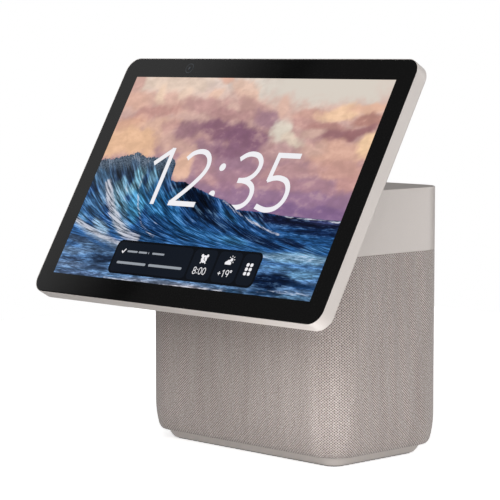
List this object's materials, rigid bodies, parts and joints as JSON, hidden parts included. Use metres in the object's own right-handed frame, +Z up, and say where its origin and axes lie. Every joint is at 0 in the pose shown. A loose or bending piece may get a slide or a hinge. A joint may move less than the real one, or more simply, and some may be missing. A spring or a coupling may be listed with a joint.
{
  "type": "smart display",
  "caption": "Touch screen on a friction tilt hinge in front of an upright rounded speaker base with a woven fabric sleeve, plastic collar and push buttons on top.",
  "frame": {"origin": "on the table, under the middle of the base, at the rubber pad's underside", "axes": "+X to the viewer's right along the tilt axis, -Y the way the screen faces, +Z up"},
  "size_m": [0.243, 0.1513, 0.2323],
  "materials": {
    "housing_plastic": "fine matt moulded texture",
    "cover_plastic": "fine matt moulded texture, darker taupe",
    "dark_plastic": "matt",
    "fabric": "open woven knit, taupe grey",
    "black_glass": "polished",
    "display": "lit picture under glass",
    "backlight": "satin white",
    "rubber": "matt",
    "steel": "brushed",
    "aluminium": "satin",
    "circuit_board": "satin solder mask",
    "speaker_cone": "felted",
    "magnet": "coated",
    "cable_film": "amber film",
    "lens": "coated"
  },
  "bodies": {
    "base": {"foot_pad": "rubber", "bottom_plate": "housing_plastic", "fabric_sleeve": "fabric", "speaker_cabinet": "dark_plastic", "cabinet_lid": "dark_plastic", "top_collar": "housing_plastic", "top_cover": "cover_plastic", "button_board": "circuit_board", "main_board": "circuit_board", "heat_sink": "aluminium", "wifi_antenna_left": "cable_film", "wifi_antenna_right": "cable_film", "power_bezel": "dark_plastic", "power_socket": "steel", "woofer_basket": "steel", "woofer_magnet": "magnet", "woofer_cone": "speaker_cone", "woofer_surround": "rubber", "tweeter_left": "speaker_cone", "tweeter_right": "speaker_cone", "passive_radiator_left": "speaker_cone", "passive_radiator_right": "speaker_cone", "hinge_bracket": "steel", "hinge_cowl": "dark_plastic", "display_cable_base": "cable_film", "bracket_screw_1": "steel", "base_screw_1": "steel", "bracket_screw_2": "steel", "base_screw_2": "steel", "bracket_screw_3": "steel", "base_screw_3": "steel", "bracket_screw_4": "steel", "base_screw_4": "steel"},
    "screen": {"cover_glass": "black_glass", "screen_housing": "housing_plastic", "lcd_panel": "display", "backlight_unit": "backlight", "mid_frame": "aluminium", "screen_board": "circuit_board", "microphone_strip": "circuit_board", "camera_module": "dark_plastic", "camera_lens": "lens", "hinge_leaf_left": "steel", "hinge_leaf_right": "steel", "hinge_shaft_left": "steel", "hinge_shaft_right": "steel", "hinge_cap_left": "housing_plastic", "hinge_cap_right": "housing_plastic", "hinge_cover": "housing_plastic", "display_cable_screen": "cable_film"},
    "button_volume_down": {"button_volume_down": "housing_plastic"},
    "button_volume_up": {"button_volume_up": "housing_plastic"},
    "button_action": {"button_action": "housing_plastic"},
    "button_microphone": {"button_microphone": "housing_plastic"}
  },
  "joints": [
    {"name": "screen_tilt", "type": "hinge", "parent": "base", "child": "screen", "pos_m": [0, -0.0506, 0.1446], "axis": [-1, 0, 0], "range_deg": [-30, 15]},
    {"name": "volume_down_press", "type": "slide", "parent": "base", "child": "button_volume_down", "axis": [0, 0, -1], "range_m": [0, 0.0006], "stiffness_N_per_m": 2500},
    {"name": "volume_up_press", "type": "slide", "parent": "base", "child": "button_volume_up", "axis": [0, 0, -1], "range_m": [0, 0.0006], "stiffness_N_per_m": 2500},
    {"name": "action_press", "type": "slide", "parent": "base", "child": "button_action", "axis": [0, 0, -1], "range_m": [0, 0.0006], "stiffness_N_per_m": 2500},
    {"name": "microphone_press", "type": "slide", "parent": "base", "child": "button_microphone", "axis": [0, 0, -1], "range_m": [0, 0.0006], "stiffness_N_per_m": 2500}
  ]
}
